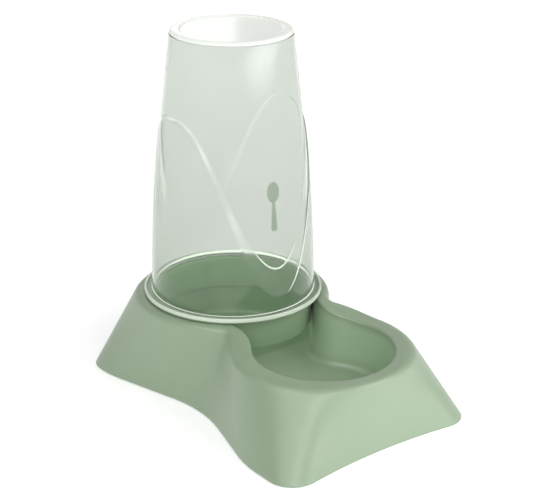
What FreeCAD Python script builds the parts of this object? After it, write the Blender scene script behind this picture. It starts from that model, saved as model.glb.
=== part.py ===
import FreeCAD, Part
import math
import os
import Sketcher
from FreeCAD import Vector

# Gravity pet food and water dispenser: a moulded base with a round well and a
# round bowl joined by a neck, a flow ring that hangs in the well, and a
# translucent tank that stands upside down on the ring.
#
# Row frame: millimetres, +Z up, origin on the floor under the middle of the
# foot outline, +X from the tank towards the bowl, and Y = 0 the plane of symmetry.

# Driving sizes: alias, value and meaning
SIZES = (
    ("foot_length", 300.6, "length over the four corners of the foot"),
    ("foot_width", 206.0, "width over the four corners of the foot"),
    ("foot_corner", 24.0, "radius of the foot's corners"),
    ("end_hollow", 5.8, "how far the two ends curve in between their corners"),
    ("waist_width", 158.0, "width of the foot at its waist"),
    ("waist_place", -4.9, "where the foot is narrowest along X"),
    ("tank_side", 1.7, "straight length of the foot's side at the corners by the tank"),
    ("bowl_side", 18.0, "straight length of the foot's side at the corners by the bowl"),
    ("tank_slope", 62.9, "straight length from the bend by that side to the bend at the waist"),
    ("bowl_slope", 49.3, "straight length from the bend at the waist to the bend by the bowl"),
    ("bend_share", 0.44, "the outer bend's part of the radii of the two bends that a slope joins"),
    ("tank_place", -58.5, "the tank axis along X"),
    ("bowl_place", 69.1, "the bowl axis along X"),
    ("seat_radius", 87.0, "outer edge of the rim round the tank"),
    ("rim_place", 65.8, "centre of the outer edge of the bowl's rim along X"),
    ("rim_radius", 78.8, "outer edge of the rim round the bowl"),
    ("rim_neck", 58.0, "half the width over the rims at the neck"),
    ("well_radius", 73.0, "well, at the seat"),
    ("bowl_radius", 61.6, "bowl, at the height of the seat"),
    ("neck_width", 88.0, "clear width of the neck"),
    ("draft", 2.0, "draft of the basin walls, in degrees"),
    ("floor_height", 20.5, "basin floor above the table"),
    ("floor_fillet", 7.0, "fillet round the basin floor"),
    ("seat_height", 78.2, "rim round the tank above the table"),
    ("rim_height", 67.3, "rim round the bowl above the table"),
    ("slope_start", 52.0, "where the rim starts to fall, from the tank axis"),
    ("slope_length", 60.0, "length over which the rim falls to the bowl"),
    ("rim_round", 6.0, "rounding of the rim's outer edge"),
    ("lip_round", 2.5, "rounding of the rim's inner edge"),
    ("base_wall", 2.5, "wall of the base"),
    ("ring_gap", 1.9, "between the flow ring and the well at the seat"),
    ("ring_wall", 2.0, "wall of the flow ring"),
    ("ring_seat_gap", 0.05, "between the lip of the flow ring and the seat"),
    ("ring_drop", 28.2, "how far the flow ring hangs below the seat"),
    ("ring_lip", 5.5, "how far the lip of the flow ring reaches past the well"),
    ("lip_thickness", 1.2, "thickness of that lip"),
    ("mouth_radius", 73.3, "tank at its mouth, outside"),
    ("barrel_radius", 63.0, "tank barrel at the peaks of the wave"),
    ("barrel_bow", 1850.0, "radius of the barrel's bowed side"),
    ("panel_radius", 69.0, "tank panel at the foot of the wave"),
    ("crown_radius", 53.0, "tank at its closed end"),
    ("panel_bow", 2000.0, "radius of the panel's bowed side"),
    ("tank_height", 239.2, "tank, from its mouth to its closed end"),
    ("crown_round", 4.0, "rounding of the closed end"),
    ("crown_recess_radius", 45.0, "recess in the closed end"),
    ("crown_recess", 1.2, "depth of that recess"),
    ("tank_wall", 2.0, "wall of the tank"),
    ("flange_radius", 80.0, "flange round the tank's mouth"),
    ("flange_plate", 1.8, "thickness of the flange"),
    ("flange_height", 3.9, "height of the flange's turned-up edge"),
    ("flange_edge", 2.0, "width of that edge"),
    ("trough_height", 15.4, "lowest point of the wave above the tank's mouth"),
    ("peak_height", 167.6, "highest point of the wave above the tank's mouth"),
    ("trough_step", 26.4, "height of the wave's slope at its lowest point"),
    ("peak_step", 2.4, "height of the wave's slope at its highest point"),
    ("tank_turn", -2.5, "how far the tank is turned in its seat, in degrees"),
    ("pad_radius", 6.0, "foot pad"),
    ("pad_thickness", 2.0, "thickness of a foot pad"),
    ("pad_proud", 0.8, "how far the pads lift the base off the table"),
    ("pad_play", 0.2, "play round a foot pad in its recess"),
    ("boss_radius", 9.0, "boss that holds a foot pad"),
    ("boss_height", 8.0, "height of that boss"),
    ("boss_inset", 14.5, "middle of that boss, in from the corner of the foot"),
)

HALF_STEPS = 72     # stretches along half of an outline of the base
WAVE_STEPS = 48     # stretches along the wave, half way round the tank
WAVE_POWER = 3.0    # how narrow the troughs of the wave are
SLOPE_POWER = 3.2   # how soon the wave's slope shortens away from its troughs

doc = FreeCAD.newDocument("dispenser")
sheet = doc.addObject("Spreadsheet::Sheet", "sizes")
for row, (alias, value, meaning) in enumerate(SIZES, start=1):
    sheet.set("A%d" % row, alias)
    sheet.set("B%d" % row, str(value))
    sheet.setAlias("B%d" % row, alias)
    sheet.set("C%d" % row, meaning)
doc.recompute()


class Length:
    """A length together with the expression that ties it to the sheet."""

    def __init__(self, value, text):
        self.value = value
        self.text = text

    def __add__(self, other):
        return Length(self.value + other.value, "(%s + %s)" % (self.text, other.text))

    def __sub__(self, other):
        return Length(self.value - other.value, "(%s - %s)" % (self.text, other.text))

    def half(self):
        return Length(self.value / 2, "(%s / 2)" % self.text)


def size(alias):
    return Length(float(sheet.get(alias)), "sizes." + alias)


def value(alias):
    return float(sheet.get(alias))


# Outlines of the base: lines and arcs on the side of +Y, from the tank's end to the bowl's end

class Line:
    """A straight stretch; its normal points out of the base."""

    def __init__(self, start, stop):
        self.start = start
        self.along = (stop - start).normalize()
        self.length = (stop - start).Length

    def at(self, distance):
        normal = Vector(-self.along.y, self.along.x, 0)
        return self.start + self.along * distance, normal


class Arc:
    """A stretch of a circle; it is convex where it runs clockwise."""

    def __init__(self, centre, radius, start, stop):
        self.centre = centre
        self.radius = radius
        self.start = start
        self.turn = stop - start
        self.length = abs(self.turn) * radius

    def at(self, distance):
        angle = self.start + self.turn * distance / self.length
        outward = Vector(math.cos(angle), math.sin(angle), 0)
        normal = outward if self.turn < 0 else -outward
        return self.centre + outward * self.radius, normal


class Outline:
    """Joined stretches, with marks that match one outline to another."""

    def __init__(self, stretches, marks):
        self.stretches = stretches
        self.marks = marks

    def at(self, distance):
        for stretch in self.stretches:
            if distance <= stretch.length:
                return stretch.at(distance)
            distance -= stretch.length
        return stretch.at(stretch.length)


def before(stretches, count, share=0.0):
    """Distance along an outline to a share of one of its stretches."""
    return sum(stretch.length for stretch in stretches[:count]) + share * stretches[count].length


def foot_outline():
    """Star-shaped foot: hollow ends and a waist between rounded corners."""
    half_length = value("foot_length") / 2
    half_width = value("foot_width") / 2
    corner = value("foot_corner")
    hollow = value("end_hollow")
    reach = half_width - corner
    end_radius = (reach ** 2 + hollow ** 2) / (2 * hollow) - corner
    end_centre = Vector(-half_length + hollow - end_radius, 0, 0)
    lean = math.asin(reach / (end_radius + corner))
    tank_corner = Vector(-half_length + corner, reach, 0)
    bowl_corner = Vector(half_length - corner, reach, 0)
    tank_end = Arc(end_centre, end_radius, 0, lean)
    tank_arc = Arc(tank_corner, corner, math.pi + lean, math.pi / 2)
    bowl_arc = Arc(bowl_corner, corner, math.pi / 2, -lean)
    bowl_end = Arc(-end_centre, end_radius, math.pi - lean, math.pi)
    tank_stop = tank_corner + Vector(value("tank_side"), corner, 0)
    bowl_stop = bowl_corner + Vector(-value("bowl_side"), corner, 0)
    waist = Vector(value("waist_place"), value("waist_width") / 2, 0)
    fall, tank_outer, tank_inner = side_bends(tank_stop, waist, value("tank_slope"))
    rise, bowl_outer, bowl_inner = side_bends(bowl_stop, waist, value("bowl_slope"))
    up = math.pi / 2
    tank_bend = Arc(tank_stop - Vector(0, tank_outer, 0), tank_outer, up, up - fall)
    tank_waist = Arc(waist + Vector(0, tank_inner, 0), tank_inner, -up - fall, -up)
    bowl_waist = Arc(waist + Vector(0, bowl_inner, 0), bowl_inner, -up, -up + rise)
    bowl_bend = Arc(bowl_stop - Vector(0, bowl_outer, 0), bowl_outer, up + rise, up)
    stretches = [
        tank_end,
        tank_arc,
        link(tank_arc, tank_bend),
        tank_bend,
        link(tank_bend, tank_waist),
        tank_waist,
        bowl_waist,
        link(bowl_waist, bowl_bend),
        bowl_bend,
        link(bowl_bend, bowl_arc),
        bowl_arc,
        bowl_end,
    ]
    marks = (
        0,
        before(stretches, 1, 0.5),
        before(stretches, 4, 0.62),
        before(stretches, 6),
        before(stretches, 8, 0.5),
        before(stretches, 10, 0.5),
        before(stretches, 11, 1.0),
    )
    return Outline(stretches, marks)


def link(first, second):
    """The straight line from the end of one arc to the start of the next."""
    return Line(first.at(first.length)[0], second.at(0)[0])


def side_bends(stop, waist, slope):
    """Lean of the slope between the end of a straight side and the waist, and the radii of the
    bends at its ends, so that the straight between the bends has the given length."""
    run = abs(waist.x - stop.x)
    depth = stop.y - waist.y
    low = 0.0
    high = math.pi / 2
    for _ in range(60):
        lean = (low + high) / 2
        reached = (run - slope * math.cos(lean)) * math.tan(lean / 2) + slope * math.sin(lean)
        if reached < depth:
            low = lean
        else:
            high = lean
    radii = (run - slope * math.cos(lean)) / math.sin(lean)
    outer = value("bend_share") * radii
    return lean, outer, radii - outer


def keyhole_outline(tank_radius, bowl_place, bowl_radius, neck):
    """Two circles joined by a fillet that touches both and keeps the neck's half width."""
    tank_place = value("tank_place")
    span = bowl_place - tank_place
    along = (span ** 2 + tank_radius ** 2 - bowl_radius ** 2) / (2 * span)
    rate = (tank_radius - bowl_radius) / span
    linear = along * rate + neck - tank_radius
    constant = along ** 2 + neck ** 2 - tank_radius ** 2
    fillet = constant / (-linear + math.sqrt(linear ** 2 - rate ** 2 * constant))
    centre = Vector(tank_place + along + rate * fillet, neck + fillet, 0)
    tank_angle = math.atan2(centre.y, centre.x - tank_place)
    bowl_angle = math.atan2(centre.y, centre.x - bowl_place)
    stretches = [
        Arc(Vector(tank_place, 0, 0), tank_radius, math.pi, tank_angle),
        Arc(centre, fillet, tank_angle - math.pi, bowl_angle - math.pi),
        Arc(Vector(bowl_place, 0, 0), bowl_radius, bowl_angle, 0),
    ]
    corner = math.atan2(value("foot_width"), value("foot_length") + 2 * tank_place)
    far_corner = math.atan2(value("foot_width"), value("foot_length") - 2 * bowl_place)
    marks = (
        0,
        tank_radius * corner,
        tank_radius * math.radians(98),
        before(stretches, 1, 0.5),
        before(stretches, 2) + bowl_radius * (bowl_angle - math.radians(100)),
        before(stretches, 2) + bowl_radius * (bowl_angle - far_corner),
        before(stretches, 2, 1.0),
    )
    return Outline(stretches, marks)


def crease_outline():
    """Outer edge of the rim, before it is rounded."""
    return keyhole_outline(value("seat_radius"), value("rim_place"), value("rim_radius"),
                           value("rim_neck"))


def basin_outline(height):
    """Inner wall of the well, neck and bowl at a height above the table."""
    lean = (value("seat_height") - height) * math.tan(math.radians(value("draft")))
    return keyhole_outline(value("well_radius") - lean, value("bowl_place"),
                           value("bowl_radius") - lean, value("neck_width") / 2 - lean)


def rim_height_at(x):
    """The rim is level round the tank, falls in an even S and is level round the bowl."""
    start = value("tank_place") + value("slope_start")
    share = min(max((x - start) / value("slope_length"), 0.0), 1.0)
    fall = value("seat_height") - value("rim_height")
    return value("seat_height") - fall * share * share * (3 - 2 * share)


def smooth_share(share, places, marks):
    """Cubic steps through the marks, so that matched rulings turn evenly."""
    slopes = [(marks[i + 1] - marks[i]) / (places[i + 1] - places[i]) for i in range(len(marks) - 1)]
    rates = [slopes[0]]
    for i in range(1, len(slopes)):
        ahead = places[i + 1] - places[i]
        behind = places[i] - places[i - 1]
        rates.append((slopes[i - 1] * ahead + slopes[i] * behind) / (ahead + behind))
    rates.append(slopes[-1])
    k = 0
    while k < len(slopes) - 1 and share > places[k + 1]:
        k += 1
    width = places[k + 1] - places[k]
    t = (share - places[k]) / width
    return ((2 * t ** 3 - 3 * t ** 2 + 1) * marks[k] + (t ** 3 - 2 * t ** 2 + t) * width * rates[k]
            + (3 * t ** 2 - 2 * t ** 3) * marks[k + 1] + (t ** 3 - t ** 2) * width * rates[k + 1])


class BaseSkin:
    """The skin of the base, as matched rows of points joined by faces."""

    def __init__(self):
        self.foot = foot_outline()
        self.crease = crease_outline()
        self.places = [
            (a / self.foot.marks[-1] + b / self.crease.marks[-1]) / 2
            for a, b in zip(self.foot.marks, self.crease.marks)
        ]
        self.shares = [i / HALF_STEPS for i in range(HALF_STEPS + 1)]

    def row(self, outline, offset, height):
        """Points of an outline moved out by an offset; height is a number or a rule of x."""
        points = []
        for share in self.shares:
            distance = smooth_share(share, self.places, outline.marks)
            point, normal = outline.at(distance)
            point = point + normal * offset
            point.z = height(point.x) if callable(height) else height
            points.append(point)
        return points

    def basin_row(self, offset, height):
        """Points of the drafted basin wall at a height that may change along the rim."""
        points = []
        for share in self.shares:
            level = height(value("tank_place")) if callable(height) else height
            for _ in range(3):
                outline = basin_outline(level)
                point, normal = outline.at(smooth_share(share, self.places, outline.marks))
                level = height(point.x) if callable(height) else height
            point = point + normal * offset
            point.z = level
            points.append(point)
        return points


def row_curve(points, shares):
    """A smooth curve through a row, with the same shares along every row."""
    curve = Part.BSplineCurve()
    curve.interpolate(Points=points, Parameters=shares)
    return curve


def band(rows, shares):
    """A face across two rows, or a rounding across three with the middle row as its corner."""
    curves = [row_curve(points, shares) for points in rows]
    poles = [list(column) for column in zip(*[curve.getPoles() for curve in curves])]
    across = len(rows)
    surface = Part.BSplineSurface()
    surface.buildFromPolesMultsKnots(poles, curves[0].getMultiplicities(), [across, across],
                                     curves[0].getKnots(), [0.0, 1.0], False, False, 3, across - 1)
    return surface.toShape()


def mirrored(points):
    return [Vector(point.x, -point.y, point.z) for point in points]


def closed_wire(points, shares):
    halves = [row_curve(points, shares).toShape(), row_curve(mirrored(points), shares).toShape()]
    return Part.Wire(halves)


def base_shape():
    """Skirt, rounded rim, drafted basin and the underside, closed into one solid."""
    skin = BaseSkin()
    wall = value("base_wall")
    rounding = value("rim_round")
    lip = value("lip_round")
    floor = value("floor_height")
    fillet = value("floor_fillet")
    proud = value("pad_proud")

    foot = skin.row(skin.foot, 0, proud)
    crease = skin.row(skin.crease, 0, rim_height_at)
    shoulder = [edge + (low - edge).normalize() * rounding for low, edge in zip(foot, crease)]
    rim_outer = skin.row(skin.crease, -rounding, rim_height_at)
    rim_edge = skin.basin_row(0, rim_height_at)
    rim_inner = skin.basin_row(lip, rim_height_at)
    wall_top = skin.basin_row(0, lambda x: rim_height_at(x) - lip)
    wall_foot = skin.basin_row(0, floor + fillet)
    floor_edge = skin.basin_row(0, floor)
    floor_rim = skin.basin_row(-fillet, floor)

    hollow_foot = skin.row(skin.foot, -wall, proud)
    hollow_edge = skin.row(skin.crease, -wall, lambda x: rim_height_at(x) - wall)
    hollow_side = [edge + (low - edge).normalize() * (rounding - wall)
                   for low, edge in zip(hollow_foot, hollow_edge)]
    hollow_top = skin.row(skin.crease, -rounding, lambda x: rim_height_at(x) - wall)
    hollow_rim = skin.basin_row(wall, lambda x: rim_height_at(x) - wall)
    hollow_floor = skin.basin_row(wall, floor - wall)

    bands = (
        (foot, shoulder),
        (shoulder, crease, rim_outer),
        (rim_outer, rim_inner),
        (rim_inner, rim_edge, wall_top),
        (wall_top, wall_foot),
        (wall_foot, floor_edge, floor_rim),
        (hollow_foot, hollow_side),
        (hollow_side, hollow_edge, hollow_top),
        (hollow_top, hollow_rim),
        (hollow_rim, hollow_floor),
    )
    faces = skin_faces(bands, skin.shares)
    faces.append(Part.Face(closed_wire(floor_rim, skin.shares)))
    faces.append(Part.Face(closed_wire(hollow_floor, skin.shares)))
    edges = [closed_wire(foot, skin.shares), closed_wire(hollow_foot, skin.shares)]
    faces.append(Part.makeFace(edges, "Part::FaceMakerBullseye"))
    return closed_solid(faces)


# The wall of the tank: a barrel below the wave, a panel set back above it

def bowed_radius(z, low, low_radius, high, high_radius, bow):
    """Radius at z of a side that bulges between two heights."""
    share = (z - low) / (high - low)
    return low_radius + (high_radius - low_radius) * share + (z - low) * (high - z) / (2 * bow)


def barrel_at(z):
    return bowed_radius(z, 0, value("mouth_radius"), value("peak_height"), value("barrel_radius"),
                        value("barrel_bow"))


def panel_at(z):
    foot = value("trough_height") + value("trough_step")
    return bowed_radius(z, foot, value("panel_radius"), value("tank_height"),
                        value("crown_radius"), value("panel_bow"))


def wave_foot(angle):
    """Height of the wave's outer edge: troughs at the front and back, peaks at the sides."""
    rise = value("peak_height") - value("trough_height")
    return value("trough_height") + rise * (1 - abs(math.cos(angle)) ** WAVE_POWER)


def wave_head(angle):
    """Height of the wave's inner edge, where the slope meets the panel."""
    extra = value("trough_step") - value("peak_step")
    return wave_foot(angle) + value("peak_step") + extra * abs(math.cos(angle)) ** SLOPE_POWER


def round_row(radius, height):
    """A row half way round the tank; radius may follow the height, height the angle."""
    points = []
    for i in range(WAVE_STEPS + 1):
        angle = math.pi * (1 - i / WAVE_STEPS)
        level = height(angle) if callable(height) else height
        reach = radius(level) if callable(radius) else radius
        points.append(Vector(reach * math.cos(angle), reach * math.sin(angle), level))
    return points


def bowed_rows(radius, low, high, inset):
    """Three rows that follow a bowed side between two heights."""
    lower = round_row(lambda z: radius(z) - inset, low)
    upper = round_row(lambda z: radius(z) - inset, high)
    middle = []
    for start, stop in zip(lower, upper):
        level = (start.z + stop.z) / 2
        chord = (start + stop) * 0.5
        reach = 2 * (radius(level) - inset) - math.hypot(chord.x, chord.y)
        outward = Vector(chord.x, chord.y, 0).normalize()
        middle.append(outward * reach + Vector(0, 0, level))
    return lower, middle, upper


def tank_wall_shape():
    """The tank without its flange: barrel, wave, panel and the recessed closed end."""
    wall = value("tank_wall")
    height = value("tank_height")
    rounding = value("crown_round")
    crown = value("crown_radius")
    recess = value("crown_recess_radius")
    recess_floor = height - value("crown_recess")
    shares = [i / WAVE_STEPS for i in range(WAVE_STEPS + 1)]

    barrel = bowed_rows(barrel_at, 0, wave_foot, 0)
    panel = bowed_rows(panel_at, wave_head, height - rounding, 0)
    corner = round_row(crown, height)
    top = round_row(crown - rounding, height)
    recess_edge = round_row(recess, height)
    recess_foot = round_row(recess - value("crown_recess"), recess_floor)
    inner_barrel = bowed_rows(barrel_at, 0, wave_foot, wall)
    inner_panel = bowed_rows(panel_at, wave_head, recess_floor - wall, wall)

    bands = (
        barrel,
        (barrel[-1], panel[0]),
        panel,
        (panel[-1], corner, top),
        (top, recess_edge),
        (recess_edge, recess_foot),
        inner_barrel,
        (inner_barrel[-1], inner_panel[0]),
        inner_panel,
        (inner_barrel[0], barrel[0]),
    )
    faces = skin_faces(bands, shares)
    faces.append(Part.Face(closed_wire(recess_foot, shares)))
    faces.append(Part.Face(closed_wire(inner_panel[-1], shares)))
    return closed_solid(faces)


def skin_faces(bands, shares):
    """The faces of the bands, on both sides of the plane of symmetry."""
    faces = []
    for rows in bands:
        faces.append(band(rows, shares))
        faces.append(band([mirrored(points) for points in rows], shares))
    return faces


def closed_solid(faces):
    shell = Part.makeShell(faces)
    shell.sewShape()
    solid = Part.makeSolid(shell)
    if solid.Volume < 0:
        solid.reverse()
    return solid


# Turned pieces: a profile in the XZ plane turned about the upright axis

def origin_plane(body, role):
    return next(plane for plane in body.Origin.OriginFeatures if plane.Role == role)


def turned_body(label, corners):
    """A turned body; its profile has straight edges between the corners."""
    body = doc.addObject("PartDesign::Body", label)
    sketch = body.newObject("Sketcher::SketchObject", label + "_profile")
    sketch.AttachmentSupport = (origin_plane(body, "XZ_Plane"), [""])
    sketch.MapMode = "FlatFace"
    starts = {}
    stops = {}
    for i, corner in enumerate(corners):
        following = corners[(i + 1) % len(corners)]
        start = Vector(corner[0].value, corner[1].value, 0)
        stop = Vector(following[0].value, following[1].value, 0)
        edge = sketch.addGeometry(Part.LineSegment(start, stop), False)
        starts[i] = (edge, 1)
        stops[i] = (edge, 2)
    for i, corner in enumerate(corners):
        previous = stops[(i - 1) % len(corners)]
        sketch.addConstraint(Sketcher.Constraint("Coincident", *previous, *starts[i]))
        for kind, length in zip(("DistanceX", "DistanceY"), corner):
            pin = sketch.addConstraint(Sketcher.Constraint(kind, -1, 1, *starts[i], length.value))
            sketch.setExpression("Constraints[%d]" % pin, length.text)
    turning = body.newObject("PartDesign::Revolution", label + "_turning")
    turning.Profile = sketch
    turning.ReferenceAxis = (sketch, ["V_Axis"])
    turning.Angle = 360
    sketch.Visibility = False
    return body


def place(feature, x, z):
    feature.setExpression("Placement.Base.x", x.text)
    feature.setExpression("Placement.Base.z", z.text)


# Base: moulded shell with four bosses that hold the foot pads

base_shell = doc.addObject("Part::Feature", "base_shell")
base_shell.Shape = base_shape()
outline = foot_outline()
pad_places = {}
for end, mark in (("tank", outline.marks[1]), ("bowl", outline.marks[5])):
    point, normal = outline.at(mark)
    middle = point - normal * value("boss_inset")
    for side, sign in (("left", 1), ("right", -1)):
        pad_places[end + "_" + side] = Vector(middle.x, middle.y * sign, 0)

zero = Length(0.0, "0")
bosses = []
recesses = []
pads = []
for name, middle in pad_places.items():
    boss = doc.addObject("Part::Cylinder", "boss_" + name)
    boss.Placement.Base = middle
    boss.setExpression("Radius", "sizes.boss_radius")
    boss.setExpression("Height", "sizes.boss_height")
    boss.setExpression("Placement.Base.z", "sizes.pad_proud")
    bosses.append(boss)
    recess = doc.addObject("Part::Cylinder", "recess_" + name)
    recess.Placement.Base = middle
    recess.setExpression("Radius", "sizes.pad_radius + sizes.pad_play")
    recess.setExpression("Height", "sizes.pad_thickness")
    recesses.append(recess)
    pad = doc.addObject("Part::Cylinder", "pad_" + name)
    pad.Placement.Base = middle
    pad.setExpression("Radius", "sizes.pad_radius")
    pad.setExpression("Height", "sizes.pad_thickness")
    pads.append(pad)

bossed = doc.addObject("Part::MultiFuse", "bossed_shell")
bossed.Shapes = [base_shell] + bosses
hollows = doc.addObject("Part::MultiFuse", "pad_hollows")
hollows.Shapes = recesses
base = doc.addObject("Part::Cut", "base")
base.Base = bossed
base.Tool = hollows

# Flow ring: hangs in the well by its lip and keeps the mouth of the tank low in the well

ring_outer = size("well_radius") - size("ring_gap")
ring_inner = ring_outer - size("ring_wall")
lip_outer = size("well_radius") + size("ring_lip")
ring_top = size("ring_drop") + size("lip_thickness")
flow_ring = turned_body("flow_ring", (
    (ring_inner, zero),
    (ring_outer, zero),
    (ring_outer, size("ring_drop")),
    (lip_outer, size("ring_drop")),
    (lip_outer, ring_top),
    (ring_inner, ring_top),
))
ring_seat = size("seat_height") + size("ring_seat_gap")
place(flow_ring, size("tank_place"), ring_seat - size("ring_drop"))

# Tank: the waved wall and the flange with its turned-up edge

tank_wall = doc.addObject("Part::Feature", "tank_wall_skin")
tank_wall.Shape = tank_wall_shape()
flange_inner = size("mouth_radius") - size("tank_wall").half()
edge_inner = size("flange_radius") - size("flange_edge")
flange = turned_body("tank_flange", (
    (flange_inner, zero),
    (size("flange_radius"), zero),
    (size("flange_radius"), size("flange_height")),
    (edge_inner, size("flange_height")),
    (edge_inner, size("flange_plate")),
    (flange_inner, size("flange_plate")),
))
tank = doc.addObject("Part::MultiFuse", "tank")
tank.Shapes = [tank_wall, flange]
place(tank, size("tank_place"), ring_seat + size("lip_thickness"))
tank.setExpression("Placement.Rotation.Angle", "sizes.tank_turn")

doc.recompute()
nodes = [base, flow_ring, tank] + pads
for feature in doc.Objects:
    if "Invalid" in feature.State or "Error" in feature.State:
        raise RuntimeError("not rebuilt: " + feature.Label)
for node in nodes:
    shape = node.Shape
    if shape.isNull() or not shape.isValid() or len(shape.Solids) != 1:
        raise RuntimeError("not one sound solid: " + node.Label)

os.makedirs("parts", exist_ok=True)
for node in nodes:
    node.Shape.exportStep("parts/" + node.Label + ".step")
    box = node.Shape.BoundBox
    print("%-15s %8.2f %8.2f %8.2f  volume %10.1f" % (
        node.Label, box.XLength, box.YLength, box.ZLength, node.Shape.Volume))
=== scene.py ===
"""Looks of the gravity pet food and water dispenser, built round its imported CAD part.

The shape functions work in millimetres in the row frame: +X from the tank to the bowl, +Z up, the
floor at zero. Each returns whole arrays, and a mesh is written in metres.
"""

import math

import bmesh
import bpy
import numpy as np
from mathutils import Matrix, Vector


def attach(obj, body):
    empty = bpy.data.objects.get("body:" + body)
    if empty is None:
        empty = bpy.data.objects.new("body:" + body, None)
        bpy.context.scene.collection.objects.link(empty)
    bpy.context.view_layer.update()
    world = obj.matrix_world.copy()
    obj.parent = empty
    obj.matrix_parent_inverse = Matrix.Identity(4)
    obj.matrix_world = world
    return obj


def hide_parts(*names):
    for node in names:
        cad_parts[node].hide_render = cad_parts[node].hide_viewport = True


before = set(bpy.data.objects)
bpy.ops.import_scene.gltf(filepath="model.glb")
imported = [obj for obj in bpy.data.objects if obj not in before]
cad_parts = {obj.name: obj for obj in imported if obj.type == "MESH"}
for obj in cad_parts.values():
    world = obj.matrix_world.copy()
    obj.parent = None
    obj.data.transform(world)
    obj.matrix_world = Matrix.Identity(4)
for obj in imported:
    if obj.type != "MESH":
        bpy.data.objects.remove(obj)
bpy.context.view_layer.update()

MM = 0.001

# Base, in millimetres
FOOT_HALF_LENGTH = 150.3
FOOT_HALF_WIDTH = 103.0
FOOT_CORNER = 24.0
END_HOLLOW = 5.8
WAIST_HALF_WIDTH = 79.0
WAIST_X = -4.9
TANK_SIDE = 1.7
BOWL_SIDE = 18.0
TANK_SLOPE = 62.9
BOWL_SLOPE = 49.3
BEND_SHARE = 0.44
TANK_X = -58.5
BOWL_X = 69.1
SEAT_RADIUS = 87.0
RIM_X = 65.8
RIM_RADIUS = 78.8
RIM_NECK = 58.0
WELL_RADIUS = 73.0
BOWL_RADIUS = 61.6
NECK_HALF_WIDTH = 44.0
DRAFT = math.tan(math.radians(2.0))
FLOOR_Z = 20.5
FLOOR_FILLET = 7.0
SEAT_Z = 78.2
RIM_Z = 67.3
SLOPE_START = 52.0
SLOPE_LENGTH = 60.0
RIM_ROUND = 6.0
LIP_ROUND = 2.5
BASE_WALL = 2.5
PAD_PROUD = 0.8
FOOT_EDGE_ROUND = 0.9
BOSS_RADIUS = 9.0
BOSS_TOP = 8.8
BOSS_INSET = 14.5
PAD_RADIUS = 6.0
PAD_THICKNESS = 2.0
PAD_PLAY = 0.2

# Where the skirt's rulings meet the foot's slope, as a share of it, and the circles round the tank
# and the bowl, as angles from their ends
SLOPE_MARK = 0.62
TANK_MARK = math.radians(98)
BOWL_MARK = math.radians(100)

# Flow ring and tank, in millimetres
RING_GAP = 1.9
RING_WALL = 2.0
RING_DROP = 28.2
RING_LIP = 5.5
LIP_THICKNESS = 1.2
RING_SEAT_GAP = 0.05
MOUTH_RADIUS = 73.3
BARREL_RADIUS = 63.0
BARREL_BOW = 1850.0
PANEL_RADIUS = 69.0
CROWN_RADIUS = 53.0
PANEL_BOW = 2000.0
TANK_HEIGHT = 239.2
CROWN_ROUND = 4.0
RECESS_RADIUS = 45.0
RECESS_DEPTH = 1.2
TANK_WALL = 2.0
FLANGE_RADIUS = 80.0
FLANGE_PLATE = 1.8
FLANGE_HEIGHT = 3.9
FLANGE_EDGE = 2.0
TROUGH_Z = 15.4
PEAK_Z = 167.6
TROUGH_STEP = 26.4
PEAK_STEP = 2.4
WAVE_POWER = 3.0
SLOPE_POWER = 3.2
TANK_TURN = math.radians(-2.5)

# How far the roundings of the wave's edges reach, at most and as a share of its slope
WAVE_SOFT = 3.0
WAVE_SOFT_SHARE = 0.42

# How the tank is drawn in pieces: the heights where its wall and the flange's white edge begin,
# how many points of the crown's round belong to the wall, the space between pieces, the chamfer
# of their edges, and how far from an edge the side's last row lies
CUP_FOOT = 1.82
EDGE_FOOT = 0.8
CROWN_SPLIT = 2
PIECE_GAP = 0.02
CHAMFER = 0.1
EDGE_ROW = 0.4

# Painted highlight at the foot of the tank's wall, a glowing white bead: its lower side, its
# least and greatest height, the turn in degrees to its widest place and how far it stands out
FOOT_BEAD_Z = 3.4
FOOT_BEAD_THIN = 0.6
FOOT_BEAD_WIDE = 2.8
FOOT_BEAD_WIDEST = 140.0
FOOT_BEAD_PROUD = 0.3

# Painted glow of a bead, an emission: the direction in which it is strongest, how deep in the
# tank's wall it begins, and its share outside the wall
GLOW_SIDE = (-0.5, 0.87)
GLOW_DEPTH = 0.02
OUTER_GLOW = 0.15

# Painted highlights along the wave's edges, glowing white beads: the edge, the two ends in
# degrees and the greatest half width
WAVE_BEADS = (("head", -20.0, 18.0, 0.9), ("foot", 7.0, 40.0, 0.9))

# Parts of the wave's slope in degrees round the tank, the arches with a painted highlight and
# the flanks rougher and with a painted glow: where each begins, is full, fades and ends
NEAR_ARCH = (-100.0, -75.0, -54.0, -18.0)
FAR_ARCH = (66.0, 76.0, 132.0, 162.0)
RIGHT_FLANK = (34.0, 42.0, 90.0, 98.0)
LEFT_FLANK = (-152.0, -140.0, -92.0, -84.0)

# Strength of those parts: how strong the far arch's painted highlight is and how rough the
# right flank is, next to their matches, the painted glow in the left flank, the least painted
# glow in the right one, and how far up the right one its painted glow ends and is full
FAR_PALENESS = 0.9
RIGHT_ROUGHNESS = 0.5
LEFT_LIGHT = 0.45
RIGHT_LIGHT = 0.2
LIGHT_ENDS = 0.5
LIGHT_FULL = 0.1

# Painted shading of the basin: where the well's ends and the bowl's painted light begins, how
# far below the rim it is full, how high above the floor the bowl's is, its share on the floor,
# and how far it reaches past the round walls, the neck's walls and the floor
WELL_TONE_END = TANK_X + 20.0
BOWL_TONE_START = TANK_X + 35.0
TONE_DEPTH = 8.0
TONE_HEIGHT = 12.0
FLOOR_TONE = 0.45
ROUND_MARGIN = 0.6
NECK_MARGIN = 8.0
FLOOR_MARGIN = 0.2

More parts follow.
